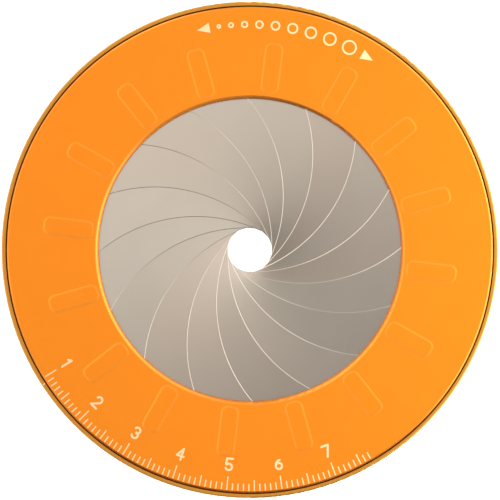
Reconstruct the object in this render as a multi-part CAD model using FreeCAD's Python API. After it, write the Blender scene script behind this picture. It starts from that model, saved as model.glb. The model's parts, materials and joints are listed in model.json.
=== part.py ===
"""Iris circle template: a round drawing aid whose aperture is set by turning a dial.

Sixteen thin leaves close in from a ring-shaped housing like the diaphragm of a lens. Each leaf
turns on a pivot pin in the housing floor, and is driven by a second pin that runs in a blind slot
in the back of the dial. A scale on the dial, read at a line on the housing's rim, gives the
aperture's diameter in centimetres. The drawing point goes through the aperture onto the paper.

Frame: millimetres, +Z up out of the dial, +X right and +Y up as the template is read. The origin
is on the axis, in the flat underside. The leaves are modelled in the rest pose, nearly closed.
"""

import FreeCAD, Part
import math
import os

V = FreeCAD.Vector
AXIS = V(0, 0, 1)
ORIGIN = V(0, 0, 0)

# ---- driving dimensions, in millimetres and degrees ----

# housing: a ring-shaped tray with a rim around the dial
OUTER_R = 63.0
WINDOW_R = 38.5
FLOOR_T = 1.8
CAVITY_R = 58.5
SHELF_Z = 4.0
RIM_INNER_R = 61.95
RIM_TOP_Z = 6.2
RIM_ROUND_R = 0.45
FOOT_CHAMFER = 0.5

# dial: the ring that is turned, resting on the housing's shelf
DIAL_R = 61.55
DIAL_T = 2.4
RUNNING_GAP = 0.05
CHAMFER_W = 0.35
CHAMFER_H = 0.22
WINDOW_ROUND_R = 0.9
SPIGOT_GAP = 0.1
SPIGOT_T = 1.2
SPIGOT_DEPTH = 0.8

# drive slots, milled into the dial from behind, each showing on the face as a faint raised pad
SLOT_INNER_R = 40.1
SLOT_OUTER_R = 52.5
SLOT_W = 4.25
SLOT_CORNER_R = 1.5
SLOT_DEPTH = 1.4
SLOT_PHASE = -0.13
PAD_H = 0.07
PAD_MARGIN = 0.25
PAD_EDGE_W = 0.5

# retaining ring: a split wire ring in facing grooves of the rim and the dial
WIRE_D = 0.8
WIRE_GAP_DEG = 8.0
SEATED_PLAY = 0.02
GROOVE_PLAY = 0.1

# leaves
LEAVES = 16
FIRST_PIVOT_DEG = 221.9
PIVOT_R = 41.0
LEAF_INNER_R = 38.6
LEAF_OUTER_R = 53.5
LEAF_T = 0.07
LEAF_STEP_Z = 0.18
PIVOT_CLEARANCE_Z = 0.17
REST_APERTURE_R = 5.5
DRIVE_PIN_DEG = 221.3
PIN_SPACING = 84.1

# pins, each with a shoulder that the leaf is riveted against
PIVOT_PIN_R = 1.1
PIVOT_BORE_R = 1.15
PIVOT_BORE_DEPTH = 1.3
DRIVE_PIN_R = 1.15
TENON_R = 0.75
SHOULDER_GAP = 0.02
TENON_PROUD = 0.005
PIN_END_GAP = 0.05
DRIVE_PIN_END_GAP = 0.2

# scale: printed on the dial, counting the aperture's diameter in centimetres
PRINT_T = 0.03
SCALE_FIRST_DEG = 211.8
DEG_PER_CM = 13.17
SCALE_FIRST_CM = 1.0
SCALE_LAST_CM = 7.7
REST_READING_CM = 1.1
TICK_W = 0.31
TICK_OUTER_R = 61.1
TICK_INNER_R = {"millimetre": 59.3, "half": 58.4, "centimetre": 57.7}
NUMERAL_R = 54.6
NUMERAL_H = 3.4
NUMERAL_STROKE = 0.52
INDEX_INNER_R = 62.0
INDEX_OUTER_R = 62.55

# row of rings from small to large between two arrowheads: which way to turn the dial
SYMBOL_R = 57.1
SYMBOL_START_DEG = 103.5
SYMBOL_STROKE = 0.45
SYMBOL_RINGS = 9
SYMBOL_SMALLEST_D = 1.2
SYMBOL_LARGEST_D = 3.8
SYMBOL_SPACE = 1.75
ARROW_L = 3.2
ARROW_W = 2.6

# ---- lengths and angles that follow ----

PITCH_DEG = 360 / LEAVES
DIAL_BOTTOM_Z = SHELF_Z + RUNNING_GAP
DIAL_TOP_Z = DIAL_BOTTOM_Z + DIAL_T
SPIGOT_R = CAVITY_R - SPIGOT_GAP
PIVOT_Z = FLOOR_T + PIVOT_CLEARANCE_Z

# the leaf turns about its pivot until its arcs are centred on the axis, and the window is clear
LEAF_TURN = 2 * math.asin((LEAF_INNER_R - REST_APERTURE_R) / (2 * PIVOT_R))

# the leaf's two surfaces climb evenly with the angle about the axis, so that each leaf lies on
# the next one all the way round
RISE_PER_RADIAN = LEAF_STEP_Z / math.radians(PITCH_DEG)
DRIVE_Z = PIVOT_Z + RISE_PER_RADIAN * math.radians(DRIVE_PIN_DEG)


# ---- geometry helpers ----


def on_circle(radius, degrees, z=0.0, centre=ORIGIN):
    """The point at this radius and angle round a centre."""
    angle = math.radians(degrees)
    return centre + V(radius * math.cos(angle), radius * math.sin(angle), z)


def cylinder(radius, bottom, top, at=ORIGIN):
    """A round bar along Z."""
    return Part.makeCylinder(radius, top - bottom, V(at.x, at.y, bottom))


def turned_about_axis(profile):
    """The solid that a closed profile of (radius, z) corners sweeps round the axis."""
    corners = [V(radius, 0, z) for radius, z in profile]
    face = Part.Face(Part.makePolygon(corners + corners[:1]))
    return face.revolve(ORIGIN, AXIS, 360)


def turned(shape, degrees):
    """A copy of a shape, turned about the axis."""
    copy = shape.copy()
    copy.rotate(ORIGIN, AXIS, degrees)
    return copy


def rings_at(shape, radius, z):
    """The circular edges of this radius round the axis, at this height."""
    return [
        edge
        for edge in shape.Edges
        if isinstance(edge.Curve, Part.Circle)
        and math.isclose(edge.Curve.Radius, radius)
        and math.isclose(edge.Curve.Center.z, z)
    ]


def rounded_slab(length, width, corner_r, bottom, height):
    """A slab with rounded vertical corners, centred on the Z axis, with its length along X."""
    slab = Part.makeBox(length, width, height, V(-length / 2, -width / 2, bottom))
    upright = [edge for edge in slab.Edges if edge.BoundBox.ZLength > height / 2]
    return slab.makeFillet(corner_r, upright)


# ---- housing ----


def housing():
    """The tray: floor with pivot bores, shelf for the dial, and the grooved rim."""
    groove_z = wire_z()
    groove_half = WIRE_D / 2 + SEATED_PLAY
    groove_r = wire_r() + WIRE_D / 2 + SEATED_PLAY
    body = turned_about_axis(
        [
            (WINDOW_R + FOOT_CHAMFER, 0),
            (OUTER_R - FOOT_CHAMFER, 0),
            (OUTER_R, FOOT_CHAMFER),
            (OUTER_R, RIM_TOP_Z),
            (RIM_INNER_R, RIM_TOP_Z),
            (RIM_INNER_R, groove_z + groove_half),
            (groove_r, groove_z + groove_half),
            (groove_r, groove_z - groove_half),
            (RIM_INNER_R, groove_z - groove_half),
            (RIM_INNER_R, SHELF_Z),
            (CAVITY_R, SHELF_Z),
            (CAVITY_R, FLOOR_T),
            (WINDOW_R, FLOOR_T),
            (WINDOW_R, FOOT_CHAMFER),
        ]
    )
    bores = [
        cylinder(PIVOT_BORE_R, FLOOR_T - PIVOT_BORE_DEPTH, FLOOR_T, on_circle(PIVOT_R, angle))
        for angle in pivot_angles()
    ]
    return body.makeFillet(RIM_ROUND_R, rings_at(body, OUTER_R, RIM_TOP_Z)).cut(bores)


def wire_r():
    """The radius of the retaining ring's centre line: halfway between the dial and the rim."""
    return (DIAL_R + RIM_INNER_R) / 2


def wire_z():
    """The height of the retaining ring's centre line, halfway up the dial."""
    return DIAL_BOTTOM_Z + DIAL_T / 2


def retaining_ring():
    """The split wire ring, with its gap at the top of the dial."""
    sweep = 360 - WIRE_GAP_DEG
    wire = Part.makeTorus(wire_r(), WIRE_D / 2, V(0, 0, wire_z()), AXIS, 0, 360, sweep)
    return turned(wire, 90 + WIRE_GAP_DEG / 2)


# ---- dial ----


def dial_blank():
    """The dial's turned shape: a flat ring, its wire groove, and the spigot that centres it.

    Its outer edge is chamfered, and the edge of its window is rounded.
    """
    groove_z = wire_z()
    groove_half = WIRE_D / 2 + GROOVE_PLAY
    groove_r = wire_r() - WIRE_D / 2 - GROOVE_PLAY
    ring = turned_about_axis(
        [
            (WINDOW_R, DIAL_BOTTOM_Z),
            (SPIGOT_R - SPIGOT_T, DIAL_BOTTOM_Z),
            (SPIGOT_R - SPIGOT_T, DIAL_BOTTOM_Z - SPIGOT_DEPTH),
            (SPIGOT_R, DIAL_BOTTOM_Z - SPIGOT_DEPTH),
            (SPIGOT_R, DIAL_BOTTOM_Z),
            (DIAL_R, DIAL_BOTTOM_Z),
            (DIAL_R, groove_z - groove_half),
            (groove_r, groove_z - groove_half),
            (groove_r, groove_z + groove_half),
            (DIAL_R, groove_z + groove_half),
            (DIAL_R, DIAL_TOP_Z - CHAMFER_H),
            (DIAL_R - CHAMFER_W, DIAL_TOP_Z),
            (WINDOW_R, DIAL_TOP_Z),
        ]
    )
    return ring.makeFillet(WINDOW_ROUND_R, rings_at(ring, WINDOW_R, DIAL_TOP_Z))


def slot_pad():
    """The faint raised pad over one slot, a little larger, with sloping edges, on the face."""
    pad = rounded_slab(
        SLOT_OUTER_R - SLOT_INNER_R + 2 * PAD_MARGIN,
        SLOT_W + 2 * PAD_MARGIN,
        SLOT_CORNER_R + PAD_MARGIN,
        DIAL_TOP_Z - PAD_H,
        2 * PAD_H,
    )
    top_edges = [edge for edge in pad.Edges if edge.BoundBox.ZMin > DIAL_TOP_Z]
    return pad.makeChamfer(PAD_H, PAD_EDGE_W, top_edges)


def slot_pocket():
    """The hollow of one drive slot, from the back of the dial."""
    return rounded_slab(
        SLOT_OUTER_R - SLOT_INNER_R, SLOT_W, SLOT_CORNER_R, DIAL_BOTTOM_Z, SLOT_DEPTH
    )


def around_the_slots(shape):
    """Copies of a shape at every drive slot."""
    middle_r = (SLOT_INNER_R + SLOT_OUTER_R) / 2
    shape.translate(V(middle_r, 0, 0))
    return [turned(shape, angle + DRIVE_PIN_DEG + SLOT_PHASE) for angle in pivot_angles()]


def dial():
    """The turned dial with its sixteen slots and the pads over them."""
    return dial_blank().fuse(around_the_slots(slot_pad())).cut(around_the_slots(slot_pocket()))


# ---- leaves and their pins ----


def pivot_angles():
    """The angle of each leaf's pivot about the axis."""
    return [FIRST_PIVOT_DEG + PITCH_DEG * number for number in range(LEAVES)]


def leaf_outline():
    """The leaf's flat outline: a band between two arcs, closed by round ends at the pins.

    It is drawn for a pivot at angle 0.
    """
    turn = math.degrees(LEAF_TURN)
    pivot = V(PIVOT_R, 0, 0)
    centre = pivot + on_circle(PIVOT_R, 180 + turn)
    drive = on_circle(drive_pin_r(), DRIVE_PIN_DEG)
    start = math.degrees(math.atan2(pivot.y - centre.y, pivot.x - centre.x))
    end = math.degrees(math.atan2(drive.y - centre.y, drive.x - centre.x)) % 360
    middle_r = (LEAF_INNER_R + LEAF_OUTER_R) / 2
    cap_r = (LEAF_OUTER_R - LEAF_INNER_R) / 2
    start_cap = on_circle(middle_r, start, centre=centre) + on_circle(cap_r, start - 90)
    end_cap = on_circle(middle_r, end, centre=centre) + on_circle(cap_r, end + 90)

    def corner(radius, angle):
        return on_circle(radius, angle, centre=centre)

    halfway = (start + end) / 2
    return Part.Wire(
        [
            Part.Arc(
                corner(LEAF_INNER_R, start), corner(LEAF_INNER_R, halfway), corner(LEAF_INNER_R, end)
            ).toShape(),
            Part.Arc(corner(LEAF_INNER_R, end), end_cap, corner(LEAF_OUTER_R, end)).toShape(),
            Part.Arc(
                corner(LEAF_OUTER_R, end), corner(LEAF_OUTER_R, halfway), corner(LEAF_OUTER_R, start)
            ).toShape(),
            Part.Arc(corner(LEAF_OUTER_R, start), start_cap, corner(LEAF_INNER_R, start)).toShape(),
        ]
    )


def drive_pin_r():
    """How far the drive pin is from the axis at rest, from the spacing of the leaf's two pins."""
    angle = math.radians(DRIVE_PIN_DEG)
    across = PIVOT_R * math.sin(angle)
    return PIVOT_R * math.cos(angle) + math.sqrt(PIN_SPACING**2 - across**2)


def climbing_sheet():
    """A sheet of the leaf's thickness that climbs evenly round the axis, wider than any leaf."""
    first, last = math.radians(-25), math.radians(250)
    inner_r, outer_r = REST_APERTURE_R - 1.5, CAVITY_R
    edges = []
    for radius in (inner_r, outer_r):
        helix = Part.makeHelix(
            2 * math.pi * RISE_PER_RADIAN, (last - first) * RISE_PER_RADIAN, radius
        )
        helix.rotate(ORIGIN, AXIS, math.degrees(first))
        helix.translate(V(0, 0, PIVOT_Z + first * RISE_PER_RADIAN))
        edges.append(helix.Edges[0])
    return Part.makeRuledSurface(*edges).extrude(V(0, 0, LEAF_T))


def leaf():
    """One leaf, for a pivot at angle 0, with the holes for its two pins."""
    blank = Part.Face(leaf_outline()).extrude(V(0, 0, SHELF_Z))
    holes = [
        cylinder(TENON_R, 0, SHELF_Z, V(PIVOT_R, 0, 0)),
        cylinder(TENON_R, 0, SHELF_Z, on_circle(drive_pin_r(), DRIVE_PIN_DEG)),
    ]
    return climbing_sheet().common(blank).cut(holes)


def pivot_pin():
    """The stud under the leaf that turns in the housing floor, riveted through the leaf."""
    at = V(PIVOT_R, 0, 0)
    bottom = FLOOR_T - PIVOT_BORE_DEPTH + PIN_END_GAP
    shoulder = PIVOT_Z - SHOULDER_GAP
    stud = cylinder(PIVOT_PIN_R, bottom, shoulder, at)
    return stud.fuse(cylinder(TENON_R, shoulder, PIVOT_Z + LEAF_T + TENON_PROUD, at))


def drive_pin():
    """The stud above the leaf's other end that follows the dial's slot."""
    at = on_circle(drive_pin_r(), DRIVE_PIN_DEG)
    shoulder = DRIVE_Z + LEAF_T + SHOULDER_GAP
    top = DIAL_BOTTOM_Z + SLOT_DEPTH - DRIVE_PIN_END_GAP
    stud = cylinder(DRIVE_PIN_R, shoulder, top, at)
    return stud.fuse(cylinder(TENON_R, DRIVE_Z - TENON_PROUD, shoulder, at))


# ---- print on the dial and the rim ----


def radial_bar(inner_r, outer_r, width, degrees, bottom):
    """A thin printed bar along a radius."""
    bar = Part.makeBox(outer_r - inner_r, width, PRINT_T, V(inner_r, -width / 2, bottom))
    return turned(bar, degrees)


def scale_ticks():
    """One tick for each millimetre of aperture, longer at half and whole centimetres."""
    ticks = []
    first, last = round(SCALE_FIRST_CM * 10), round(SCALE_LAST_CM * 10)
    for millimetres in range(first, last + 1):
        kind = "millimetre"
        if millimetres % 5 == 0:
            kind = "half"
        if millimetres % 10 == 0:
            kind = "centimetre"
        angle = SCALE_FIRST_DEG + DEG_PER_CM * (millimetres - first) / 10
        ticks.append(radial_bar(TICK_INNER_R[kind], TICK_OUTER_R, TICK_W, angle, DIAL_TOP_Z))
    return Part.makeCompound(ticks)


def bar_stroke(start, end):
    """A straight pen stroke with round ends, from one (x, y) to another, as wide as a numeral's."""
    half = NUMERAL_STROKE / 2
    a, b = V(*start, 0), V(*end, 0)
    length = (b - a).Length
    bar = Part.makeBox(length, NUMERAL_STROKE, PRINT_T, V(0, -half, 0))
    bar.rotate(ORIGIN, AXIS, math.degrees(math.atan2(b.y - a.y, b.x - a.x)))
    bar.translate(a)
    return [bar, cylinder(half, 0, PRINT_T, a), cylinder(half, 0, PRINT_T, b)]


def bow_stroke(centre, radius, start_deg, end_deg):
    """A pen stroke along a circular arc, with round ends."""
    half = NUMERAL_STROKE / 2
    at = V(*centre, 0)
    sweep = end_deg - start_deg
    disc = Part.makeCylinder(radius + half, PRINT_T, ORIGIN, AXIS, sweep)
    band = disc.cut(Part.makeCylinder(radius - half, PRINT_T, ORIGIN, AXIS))
    band.rotate(ORIGIN, AXIS, start_deg)
    band.translate(at)
    ends = [
        cylinder(half, 0, PRINT_T, on_circle(radius, angle, centre=at))
        for angle in (start_deg, end_deg)
    ]
    return [band] + ends


def numeral_strokes(digit):
    """The pen strokes of one digit, in a box that is NUMERAL_H high and centred on the origin."""
    top = (NUMERAL_H - NUMERAL_STROKE) / 2
    side = top * 0.62
    bowl = top * 0.54
    upper, lower = top - bowl, bowl - top
    if digit == 1:
        return bar_stroke((-side * 0.6, top * 0.55), (0.1, top)) + bar_stroke((0.1, top), (0.1, -top))
    if digit == 2:
        turn_off = (bowl * math.cos(math.radians(-40)), upper + bowl * math.sin(math.radians(-40)))
        return (
            bow_stroke((0, upper), bowl, -40, 165)
            + bar_stroke(turn_off, (-side, -top))
            + bar_stroke((-side, -top), (side, -top))
        )
    if digit == 3:
        return bow_stroke((0, upper), bowl * 0.96, -85, 155) + bow_stroke(
            (0, lower), bowl, -160, 85
        )
    if digit == 4:
        return (
            bar_stroke((side * 0.4, top), (side * 0.4, -top))
            + bar_stroke((side * 0.4, top), (-side, -top * 0.35))
            + bar_stroke((-side, -top * 0.35), (side, -top * 0.35))
        )
    if digit == 5:
        return (
            bar_stroke((side * 0.9, top), (-side * 0.7, top))
            + bar_stroke((-side * 0.7, top), (-side * 0.9, 0.05))
            + bow_stroke((-0.05, lower), bowl * 1.05, -155, 140)
        )
    if digit == 6:
        return (
            bow_stroke((0, lower), bowl, 0, 360)
            + bow_stroke((bowl * 0.75, lower + 0.15), bowl * 1.75, 100, 180)
        )
    return bar_stroke((-side, top), (side, top)) + bar_stroke((side, top), (-side * 0.25, -top))


def scale_numerals():
    """The digits 1 to 7, their tops towards the axis, each at its centimetre tick."""
    numerals = []
    for digit in range(math.ceil(SCALE_FIRST_CM), math.floor(SCALE_LAST_CM) + 1):
        first, *others = numeral_strokes(digit)
        numeral = first.fuse(others).removeSplitter()
        angle = SCALE_FIRST_DEG + DEG_PER_CM * (digit - SCALE_FIRST_CM)
        numeral.rotate(ORIGIN, AXIS, angle + 90)
        numeral.translate(on_circle(NUMERAL_R, angle, DIAL_TOP_Z))
        numerals.append(numeral)
    return Part.makeCompound(numerals)


def arrowhead(degrees, direction):
    """A triangle on the symbol row: direction is 1 to point counter-clockwise, -1 clockwise."""
    tip = V(0, direction * ARROW_L / 2, 0)
    left, right = (V(side * ARROW_W / 2, -direction * ARROW_L / 2, 0) for side in (-1, 1))
    triangle = Part.Face(Part.makePolygon([tip, left, right, tip])).extrude(V(0, 0, PRINT_T))
    triangle.translate(V(SYMBOL_R, 0, DIAL_TOP_Z))
    return turned(triangle, degrees)


def opening_symbols():
    """Rings from small to large between two arrowheads, showing what turning the dial does."""
    shapes = []
    travelled = 0.0

    def angle_here():
        return SYMBOL_START_DEG - math.degrees(travelled / SYMBOL_R)

    travelled += ARROW_L / 2
    shapes.append(arrowhead(angle_here(), 1))
    travelled += ARROW_L / 2 + SYMBOL_SPACE
    for number in range(SYMBOL_RINGS):
        share = number / (SYMBOL_RINGS - 1)
        diameter = SYMBOL_SMALLEST_D + share * (SYMBOL_LARGEST_D - SYMBOL_SMALLEST_D)
        travelled += diameter / 2
        at = on_circle(SYMBOL_R, angle_here())
        disc = cylinder(diameter / 2, DIAL_TOP_Z, DIAL_TOP_Z + PRINT_T, at)
        hole_r = diameter / 2 - SYMBOL_STROKE
        shapes.append(disc.cut(cylinder(hole_r, DIAL_TOP_Z, DIAL_TOP_Z + PRINT_T, at)))
        travelled += diameter / 2 + SYMBOL_SPACE
    travelled += ARROW_L / 2
    shapes.append(arrowhead(angle_here(), -1))
    return Part.makeCompound(shapes)


def index_mark():
    """The line on the rim at which the scale is read."""
    angle = SCALE_FIRST_DEG + DEG_PER_CM * (REST_READING_CM - SCALE_FIRST_CM)
    return radial_bar(INDEX_INNER_R, INDEX_OUTER_R, TICK_W, angle, RIM_TOP_Z)


# ---- writing one STEP file for each piece ----


def pieces():
    """Every node's name and shape."""
    yield "housing", housing()
    yield "retaining_ring", retaining_ring()
    yield "index_mark", index_mark()
    yield "dial", dial()
    yield "scale_ticks", scale_ticks()
    yield "scale_numerals", scale_numerals()
    yield "opening_symbols", opening_symbols()
    for name, shape in (("leaf", leaf()), ("pivot_pin", pivot_pin()), ("drive_pin", drive_pin())):
        for number, angle in enumerate(pivot_angles(), start=1):
            yield f"{name}_{number:02d}", turned(shape, angle)


def main():
    os.makedirs("parts", exist_ok=True)
    for name, shape in pieces():
        if not shape.isValid():
            raise ValueError(f"{name} isn't a valid shape")
        shape.exportStep(f"parts/{name}.step")
        print(f"{name}: {len(shape.Solids)} solid(s), {shape.Volume:.2f} mm3")


main()
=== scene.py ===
import json
import math
import random

import bpy
from mathutils import Matrix, Vector


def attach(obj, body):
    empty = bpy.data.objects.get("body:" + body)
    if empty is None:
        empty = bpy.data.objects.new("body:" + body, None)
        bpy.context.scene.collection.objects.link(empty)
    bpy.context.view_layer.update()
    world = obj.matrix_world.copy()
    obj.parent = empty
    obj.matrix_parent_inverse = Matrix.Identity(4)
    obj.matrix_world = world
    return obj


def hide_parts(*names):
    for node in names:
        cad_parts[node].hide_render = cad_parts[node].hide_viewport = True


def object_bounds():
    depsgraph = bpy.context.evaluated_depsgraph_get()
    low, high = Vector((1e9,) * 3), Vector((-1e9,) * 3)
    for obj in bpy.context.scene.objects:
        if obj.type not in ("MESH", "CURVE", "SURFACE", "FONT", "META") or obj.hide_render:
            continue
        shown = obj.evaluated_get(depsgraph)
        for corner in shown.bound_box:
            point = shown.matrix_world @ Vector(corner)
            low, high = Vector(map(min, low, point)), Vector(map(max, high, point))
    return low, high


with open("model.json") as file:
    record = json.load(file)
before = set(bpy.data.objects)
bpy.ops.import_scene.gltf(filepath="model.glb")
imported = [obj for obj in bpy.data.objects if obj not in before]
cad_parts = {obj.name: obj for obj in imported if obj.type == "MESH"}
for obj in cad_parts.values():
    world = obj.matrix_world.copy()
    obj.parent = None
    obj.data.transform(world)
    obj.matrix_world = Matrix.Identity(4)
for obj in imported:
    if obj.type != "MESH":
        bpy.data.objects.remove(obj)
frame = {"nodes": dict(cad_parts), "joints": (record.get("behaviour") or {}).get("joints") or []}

MM = 0.001
CAD_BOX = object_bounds()

# ---- leaves, in metres and radians, as the CAD model has them ----

PIVOT_R = 41.0 * MM
LEAF_INNER_R = 38.6 * MM
LEAF_OUTER_R = 53.5 * MM
LEAF_T = 0.07 * MM
RISE_PER_RADIAN = 0.18 * MM / math.radians(22.5)
PIVOT_Z = 1.97 * MM
REST_APERTURE_R = 5.5 * MM
DRIVE_PIN_ANGLE = math.radians(221.3)
PIN_SPACING = 84.1 * MM

# how each leaf's edges are worked, and how finely its mesh is divided
BURNISH_W = 0.13 * MM
BACK_BURNISH_W = 0.1 * MM
BURNISH_FALL = 0.65
STATIONS = 132
CAP_STATIONS = 8
CAP_TURN = math.radians(86)
FLAT_STRIPS = 10

# the flat faces begin this many burnished widths in from each edge
FLAT_FROM = 1.2

# where the count of a leaf's climb round the axis starts anew
CLIMB_START = math.radians(-60)

# the dark gap between the dial and the housing's rim, and how softly its shade begins
GAP_INNER_R = 61.3 * MM
GAP_OUTER_R = 62.3 * MM
GAP_BLUR = 0.05 * MM

# the camera looks straight down from a long way off, and the frame just holds the rim
CAMERA_DISTANCE = 0.62
FRAME_WIDTH = 126.65 * MM
SENSOR_WIDTH = 36.0
LOOK_OFFSET = Vector((0.03, -0.06)) * MM

# the floor lies this far under the template, so that the two faces do not coincide
FLOOR_GAP = 0.02 * MM
FLOOR_SIZE = 4.0

# the near soft box on the right, in metres and watts
BOX_PLACE = Vector((0.20, 0.02, 0.12))
BOX_WIDTH = 0.12
BOX_HEIGHT = 0.20
BOX_POWER = 2.4


# ---- the leaves' shape ----


def polar(radius, angle, centre=Vector((0, 0))):
    """The flat point at this radius and angle round a centre."""
    return centre + Vector((radius * math.cos(angle), radius * math.sin(angle)))


def drive_pin_r():
    """How far the drive pin is from the axis at rest."""
    across = PIVOT_R * math.sin(DRIVE_PIN_ANGLE)
    return PIVOT_R * math.cos(DRIVE_PIN_ANGLE) + math.sqrt(PIN_SPACING**2 - across**2)


def leaf_stations():
    """Lines across the leaf, from its inner to its outer edge, for a pivot at angle 0.

    Each is (inner point, outer point, share of the full width). The ends shrink to a round tip.
    """
    turn = 2 * math.asin((LEAF_INNER_R - REST_APERTURE_R) / (2 * PIVOT_R))
    pivot = Vector((PIVOT_R, 0))
    centre = polar(PIVOT_R, math.pi + turn, pivot)
    drive = polar(drive_pin_r(), DRIVE_PIN_ANGLE)
    start = math.atan2(pivot.y - centre.y, pivot.x - centre.x)
    end = math.atan2(drive.y - centre.y, drive.x - centre.x) % math.tau
    middle_r = (LEAF_INNER_R + LEAF_OUTER_R) / 2
    half_width = (LEAF_OUTER_R - LEAF_INNER_R) / 2
    lines = []

    def add(angle, beyond, share):
        along = Vector((-math.sin(angle), math.cos(angle)))
        outward = Vector((math.cos(angle), math.sin(angle)))
        middle = centre + outward * middle_r + along * beyond
        lines.append(
            (middle - outward * half_width * share, middle + outward * half_width * share, share)
        )

    for step in range(CAP_STATIONS, 0, -1):
        lean = CAP_TURN * step / CAP_STATIONS
        add(start, -half_width * math.sin(lean), math.cos(lean))
    for step in range(STATIONS + 1):
        add(start + (end - start) * step / STATIONS, 0, 1)
    for step in range(1, CAP_STATIONS + 1):
        lean = CAP_TURN * step / CAP_STATIONS
        add(end, half_width * math.sin(lean), math.cos(lean))
    return lines


def section_corners():
    """The leaf's cross-section, once round: (distance, from which edge, height as a share).

    The inner edge, which the pencil follows, is burnished to a broad round; the outer one less.
    """
    round_off = [(0.0, 1 - BURNISH_FALL), (0.18, 0.48), (0.42, 0.75), (0.7, 0.92), (1.0, 1.0)]
    inner = [(BURNISH_W * w, "inner", h) for w, h in round_off]
    outer = [(BACK_BURNISH_W * w, "outer", h) for w, h in reversed(round_off)]
    corners = inner + [(BURNISH_W * FLAT_FROM, "inner", 1.0)]
    corners += [(step / FLAT_STRIPS, "between", 1.0) for step in range(1, FLAT_STRIPS)]
    corners += [(BACK_BURNISH_W * FLAT_FROM, "outer", 1.0)] + outer
    corners += [(0.0, "outer", 0.0)]
    corners += [(step / FLAT_STRIPS, "between", 0.0) for step in range(FLAT_STRIPS - 1, 0, -1)]
    corners += [(0.0, "inner", 0.0)]
    return corners


def leaf_mesh(name, pivot_angle):
    """One leaf in its rest place: a ribbon of cross-sections that climbs round the axis."""
    lines = leaf_stations()
    corners = section_corners()
    around = Matrix.Rotation(pivot_angle, 2)
    points, along_across = [], []
    travelled = 0.0
    previous = None
    for inner, outer, share in lines:
        width = (outer - inner).length
        across = (outer - inner).normalized()
        middle = (inner + outer) / 2
        if previous is not None:
            travelled += (middle - previous).length
        previous = middle
        first = BURNISH_W * FLAT_FROM * share
        last = width - BACK_BURNISH_W * FLAT_FROM * share
        for amount, side, height in corners:
            if side == "inner":
                offset = amount * share
            elif side == "outer":
                offset = width - amount * share
            else:
                offset = first + (last - first) * amount
            flat = inner + across * offset
            climb = math.atan2(flat.y, flat.x)
            if climb < CLIMB_START:
                climb += math.tau
            z = PIVOT_Z + RISE_PER_RADIAN * climb + LEAF_T * height
            turned = around @ flat
            points.append((turned.x, turned.y, z))
            along_across.append((travelled, offset))
    count = len(corners)
    faces = []
    for row in range(len(lines) - 1):
        for column in range(count):
            right = (column + 1) % count
            a, b = row * count + column, row * count + right
            faces.append((a, a + count, b + count, b))
    faces.append(tuple(range(count)))
    faces.append(tuple(reversed(range((len(lines) - 1) * count, len(lines) * count))))
    mesh = bpy.data.meshes.new(name)
    mesh.from_pydata(points, [], faces)
    mesh.update()
    uv = mesh.uv_layers.new(name="along_across")
    for loop in mesh.loops:
        uv.data[loop.index].uv = along_across[loop.vertex_index]
    mesh.shade_smooth()
    mesh.set_sharp_from_angle(angle=math.radians(35))
    return mesh


# ---- materials ----


class Nodes:
    """The node tree of a material or a world, written as nested calls."""

    def __init__(self, owner, shader="Principled BSDF"):
        owner.use_nodes = True
        self.owner = owner
        self.tree = owner.node_tree
        self.shader = self.tree.nodes[shader]

    def set(self, **values):
        """Uniform values straight on the shader's sockets."""
        for name, value in values.items():
            self.shader.inputs[name.replace("_", " ")].default_value = value

    def node(self, kind, inputs=(), output=0, **settings):
        """A node with its settings, and its inputs given as values or as other nodes' outputs."""
        made = self.tree.nodes.new(kind)
        for name, value in settings.items():
            setattr(made, name, value)
        for key, value in dict(inputs).items():
            if isinstance(value, bpy.types.NodeSocket):
                self.tree.links.new(value, made.inputs[key])
            else:
                made.inputs[key].default_value = value
        return made.outputs[output]

    def feed(self, socket, value):
        """Joins an output to one of the shader's sockets."""
        self.tree.links.new(value, self.shader.inputs[socket])

    def where(self):
        """The place on the piece, in metres."""
        return self.node("ShaderNodeTexCoord", output="Object")

    def own(self, name):
        """A value that each object carries for itself."""
        return self.node(
            "ShaderNodeAttribute", output="Fac", attribute_name=name, attribute_type="OBJECT"
        )

    def noise(self, place, scale, detail=2.0, rough=0.5):
        """Noise of this many features a metre, from 0 to 1."""
        inputs = {"Vector": place, "Scale": scale, "Detail": detail, "Roughness": rough}
        return self.node("ShaderNodeTexNoise", inputs, output="Fac")

    def spread(self, value, low, high, to_low, to_high):
        """A value carried from one range to another, and held at its ends."""
        inputs = {0: value, 1: low, 2: high, 3: to_low, 4: to_high}
        return self.node("ShaderNodeMapRange", inputs, clamp=True)

    def math(self, operation, a, b=0.0):
        """One sum."""
        return self.node("ShaderNodeMath", {0: a, 1: b}, operation=operation)

    def total(self, first, *others):
        """Several values added up."""
        for value in others:
            first = self.math("ADD", first, value)
        return first

    def blend(self, amount, a, b):
        """One colour mixed into another."""
        return self.node("ShaderNodeMix", {0: amount, 6: a, 7: b}, output=2, data_type="RGBA")

    def bump(self, height, depth, strength=1.0, over=None):
        """A bump of this depth in metres, over another one if given."""
        inputs = {"Height": height, "Distance": depth, "Strength": strength}
        if over is not None:
            inputs["Normal"] = over
        return self.node("ShaderNodeBump", inputs, output="Normal")


def colour(red, green, blue):
    """A colour given in sRGB, 0 to 255, as the shader wants it."""
    def linear(value):
        value /= 255
        return value / 12.92 if value <= 0.04045 else ((value + 0.055) / 1.055) ** 2.4

    return (linear(red), linear(green), linear(blue), 1.0)


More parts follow.
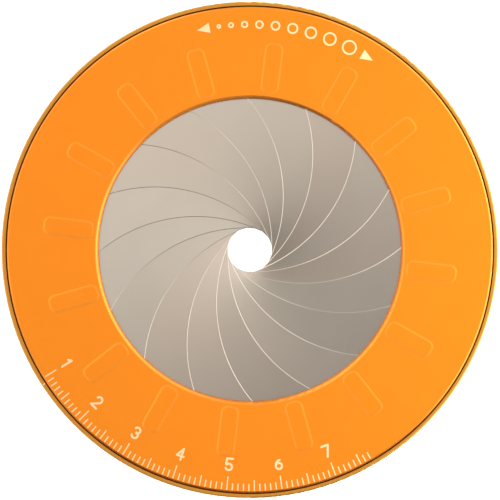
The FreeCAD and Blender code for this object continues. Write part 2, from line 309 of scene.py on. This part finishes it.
def anodised(name, tint, deep_tint, worn_and_highlight_tint):
    """Bead-blasted aluminium with a dyed skin: smoother and paler on its worn edges and slopes,
    the paleness partly worn dye and partly a painted highlight; painted shade in the gap by the
    rim.
    """
    m = Nodes(bpy.data.materials.new(name))
    m.set(Metallic=0.76)
    place = m.where()
    grain = m.noise(place, 9000, detail=3)
    clouds = m.noise(place, 140, detail=4, rough=0.6)
    facing = m.node("ShaderNodeTexCoord", output="Normal")
    upward = m.node("ShaderNodeSeparateXYZ", {0: facing}, output="Z")
    rising = m.spread(upward, 0.35, 0.5, 0, 1)
    chamfer = m.math("SUBTRACT", rising, m.spread(upward, 0.90, 0.97, 0, 1))
    sloping = m.math("SUBTRACT", rising, m.spread(upward, 0.990, 0.998, 0, 1))
    mottle = m.math("ADD", m.math("MULTIPLY", grain, 0.8), m.math("MULTIPLY", clouds, 0.2))
    skin = m.blend(m.spread(mottle, 0.35, 0.65, 0, 1), deep_tint, tint)
    edge = m.total(chamfer, sloping)
    # painted paler on chamfers and slopes: partly worn dye, partly a painted highlight
    worn_and_highlight = m.spread(edge, 0, 2, 0.0, 0.12)
    skin = m.blend(worn_and_highlight, skin, worn_and_highlight_tint)
    # painted shade: steep walls down in the gap between dial and rim are darkened to dark brown
    m.feed("Base Color", m.blend(gap_shade(m, place, upward), skin, colour(112, 32, 0)))
    blasted = m.spread(grain, 0.3, 0.7, 0.46, 0.58)
    smoothed = m.spread(edge, 0, 2, 1.0, 0.46)
    m.feed("Roughness", m.math("MULTIPLY", blasted, smoothed))
    m.feed("Normal", m.bump(grain, 0.006 * MM, strength=0.5))
    return m.owner


def gap_shade(m, place, upward):
    """How far a point is down in the dark gap between the dial and the rim, from 0 to 1."""
    flat = m.node("ShaderNodeVectorMath", {0: place, 1: (1, 1, 0)}, operation="MULTIPLY")
    radius = m.node("ShaderNodeVectorMath", {0: flat}, output="Value", operation="LENGTH")
    within = m.spread(radius, GAP_OUTER_R, GAP_OUTER_R + GAP_BLUR, 1, 0)
    beyond = m.spread(radius, GAP_INNER_R - GAP_BLUR, GAP_INNER_R, 0, 1)
    steep = m.spread(upward, 0.1, 0.3, 1, 0)
    return m.math("MULTIPLY", m.math("MULTIPLY", within, beyond), steep)


def leaf_steel():
    """Spring-steel sheet, finely brushed along each leaf, with a burnished working edge.

    Each leaf carries its own tone and warmth, from 0 to 1.
    """
    m = Nodes(bpy.data.materials.new("leaf_steel_brushed"))
    m.set(Metallic=1.0)
    uv = m.node("ShaderNodeUVMap", output="UV", uv_map="along_across")
    stretched = m.node("ShaderNodeMapping", {0: uv, 3: (900.0, 16000.0, 1.0)})
    brushing = m.noise(stretched, 1.0, detail=3)
    place = m.where()
    grain = m.noise(place, 3200, detail=2)
    patches = m.noise(place, 110, detail=3)
    tone = m.own("tone")
    warmth = m.own("warmth")
    base = m.blend(m.spread(patches, 0.3, 0.7, 0, 1), colour(192, 182, 167), colour(196, 186, 171))
    base = m.blend(m.spread(brushing, 0.3, 0.7, 0, 0.35), base, colour(180, 170, 156))
    base = m.blend(warmth, base, colour(198, 178, 161))
    base = m.blend(tone, base, colour(156, 147, 133))
    m.feed("Base Color", base)
    m.feed("Roughness", m.spread(brushing, 0.3, 0.7, 0.14, 0.20))
    scratched = m.bump(brushing, 0.002 * MM, strength=0.3)
    m.feed("Normal", m.bump(grain, 0.003 * MM, strength=0.25, over=scratched))
    return m.owner


def turned_metal(name, shade, dark_shade, roughness):
    """Turned or drawn metal with fine tool marks round the Z axis."""
    m = Nodes(bpy.data.materials.new(name))
    m.set(Metallic=1.0)
    place = m.where()
    lines = m.node("ShaderNodeMapping", {0: place, 3: (600.0, 600.0, 30000.0)})
    marks = m.noise(lines, 1.0, detail=2)
    clouds = m.noise(place, 900, detail=3)
    m.feed("Base Color", m.blend(clouds, shade, dark_shade))
    m.feed("Roughness", m.spread(marks, 0.3, 0.7, roughness - 0.06, roughness + 0.06))
    m.feed("Normal", m.bump(marks, 0.002 * MM, strength=0.4))
    return m.owner


def cream_print():
    """Thin matt ink, a little uneven, so that some of the metal's grain shows through."""
    m = Nodes(bpy.data.materials.new("cream_ink"))
    place = m.where()
    grain = m.noise(place, 7000, detail=3)
    cover = m.noise(place, 1200, detail=3)
    ink = m.blend(m.spread(cover, 0.35, 0.7, 0, 0.35), colour(178, 134, 95), colour(172, 125, 82))
    m.feed("Base Color", ink)
    m.feed("Roughness", m.spread(grain, 0.3, 0.7, 0.5, 0.7))
    m.feed("Normal", m.bump(grain, 0.004 * MM, strength=0.4))
    return m.owner


def pale_floor():
    """The plain paper-white surface that the template lies on."""
    m = Nodes(bpy.data.materials.new("floor_white"))
    m.set(Base_Color=(0.93, 0.93, 0.93, 1), Roughness=0.9, Emission_Color=(1, 1, 1, 1))
    m.set(Emission_Strength=0.6)
    return m.owner


# ---- assembly ----


def give(prefixes, material):
    """Puts a material on every CAD node whose name starts so."""
    for name, node in frame["nodes"].items():
        if name.startswith(prefixes):
            node.material_slots[0].material = material


def pivots():
    """Each leaf's body name and its pivot's angle about the axis."""
    for joint in frame["joints"]:
        if joint["child"].startswith("leaf_"):
            x, y, _ = joint["pos_m"]
            yield joint["child"], math.atan2(y, x)


def build_leaves():
    """A finely shaped leaf in the place of each CAD leaf."""
    steel = leaf_steel()
    chance = random.Random(16)
    for body, angle in pivots():
        mesh = leaf_mesh(body + "_blade", angle)
        mesh.materials.append(steel)
        blade = bpy.data.objects.new(body + "_blade", mesh)
        blade["tone"] = chance.uniform(0.0, 0.2)
        blade["warmth"] = chance.uniform(0.0, 0.6)
        bpy.context.scene.collection.objects.link(blade)
        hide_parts(body)
        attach(blade, body)


def build_stage():
    """The floor and the camera."""
    bpy.ops.mesh.primitive_plane_add(size=FLOOR_SIZE)
    floor = bpy.context.object
    floor.name = "floor"
    floor.location.z = -FLOOR_GAP
    floor.data.materials.append(pale_floor())

    camera_data = bpy.data.cameras.new("camera")
    camera_data.sensor_width = SENSOR_WIDTH
    top = CAD_BOX[1].z
    camera_data.lens = SENSOR_WIDTH * CAMERA_DISTANCE / FRAME_WIDTH
    camera = bpy.data.objects.new("camera", camera_data)
    camera.location = (LOOK_OFFSET.x, LOOK_OFFSET.y, top + CAMERA_DISTANCE)
    bpy.context.scene.collection.objects.link(camera)
    bpy.context.scene.camera = camera


def build_sky():
    """A soft studio round the object: bright above and to both sides, dimmer towards -Y.

    The brightness steps up across the zenith, along a direction that leans a little to -X.
    """
    world = bpy.data.worlds.new("studio")
    bpy.context.scene.world = world
    w = Nodes(world, "Background")
    w.set(Color=(1, 1, 1, 1))
    direction = w.node("ShaderNodeTexCoord", output="Generated")
    x = w.node("ShaderNodeSeparateXYZ", {0: direction}, output="X")
    y = w.node("ShaderNodeSeparateXYZ", {0: direction}, output="Y")
    slope = w.math("ADD", w.math("MULTIPLY", y, 0.966), w.math("MULTIPLY", x, -0.26))
    # each row is one step: where it begins and ends, and what it adds before and after
    overhead = w.total(
        w.spread(slope, -0.60, -0.38, 0.14, 0.85),
        w.spread(slope, -0.28, -0.18, 0.0, -0.46),
        w.spread(slope, -0.08, 0.045, 0.0, 0.77),
        w.spread(slope, 0.045, 0.15, 0.0, 0.2),
        w.spread(slope, 0.16, 0.28, 0.0, -0.45),
        w.spread(slope, 0.50, 0.90, 0.0, 0.1),
    )
    sides = w.total(
        w.spread(x, -0.30, -0.14, 1.9, 0.0),
        w.spread(x, -0.60, -0.40, -1.0, 0.0),
        w.spread(x, 0.16, 0.34, 0.0, 1.3),
        w.spread(x, 0.55, 0.80, 0.0, 1.6),
    )
    widening = w.math("MULTIPLY", w.math("ABSOLUTE", x), 0.45)
    above = w.spread(w.math("ADD", y, widening), -0.42, -0.20, 0.0, 1.0)
    total = w.total(overhead, w.math("MULTIPLY", sides, above))
    seen = w.node("ShaderNodeLightPath", output="Is Camera Ray")
    w.feed("Strength", w.node("ShaderNodeMix", {0: seen, 2: total, 3: 1.0}, data_type="FLOAT"))


def build_light():
    """One weak soft box on the right, nearer than the others, which the sky stands for.

    The sky holds its reflection too, so this light shows in no reflection and to no camera.
    """
    box = bpy.data.lights.new("soft_box_right", "AREA")
    box.shape = "RECTANGLE"
    box.size = BOX_WIDTH
    box.size_y = BOX_HEIGHT
    box.energy = BOX_POWER
    light = bpy.data.objects.new("soft_box_right", box)
    light.location = BOX_PLACE
    light.rotation_euler = (-BOX_PLACE).to_track_quat("-Z", "Y").to_euler()
    light.visible_glossy = False
    light.visible_camera = False
    bpy.context.scene.collection.objects.link(light)


def main():
    # a pale orange painted onto worn edges and slopes, partly as worn dye and partly as a painted
    # highlight
    pale = colour(250, 186, 110)
    face = anodised("anodised_orange_dial", colour(196, 111, 12), colour(190, 104, 9), pale)
    rim = anodised("anodised_orange_housing", colour(162, 109, 36), colour(154, 101, 30), pale)
    give(("dial",), face)
    give(("housing",), rim)
    steel = turned_metal("pin_steel_turned", colour(196, 192, 186), colour(118, 114, 108), 0.32)
    bronze = turned_metal("spring_wire_bronze", colour(142, 54, 4), colour(110, 36, 2), 0.36)
    give(("pivot_pin", "drive_pin"), steel)
    give(("retaining_ring",), bronze)
    give(("scale_", "opening_symbols", "index_mark"), cream_print())
    build_leaves()
    build_stage()
    build_sky()
    build_light()
    settings = bpy.context.scene.view_settings
    settings.view_transform = "Standard"
    settings.look = "None"


main()
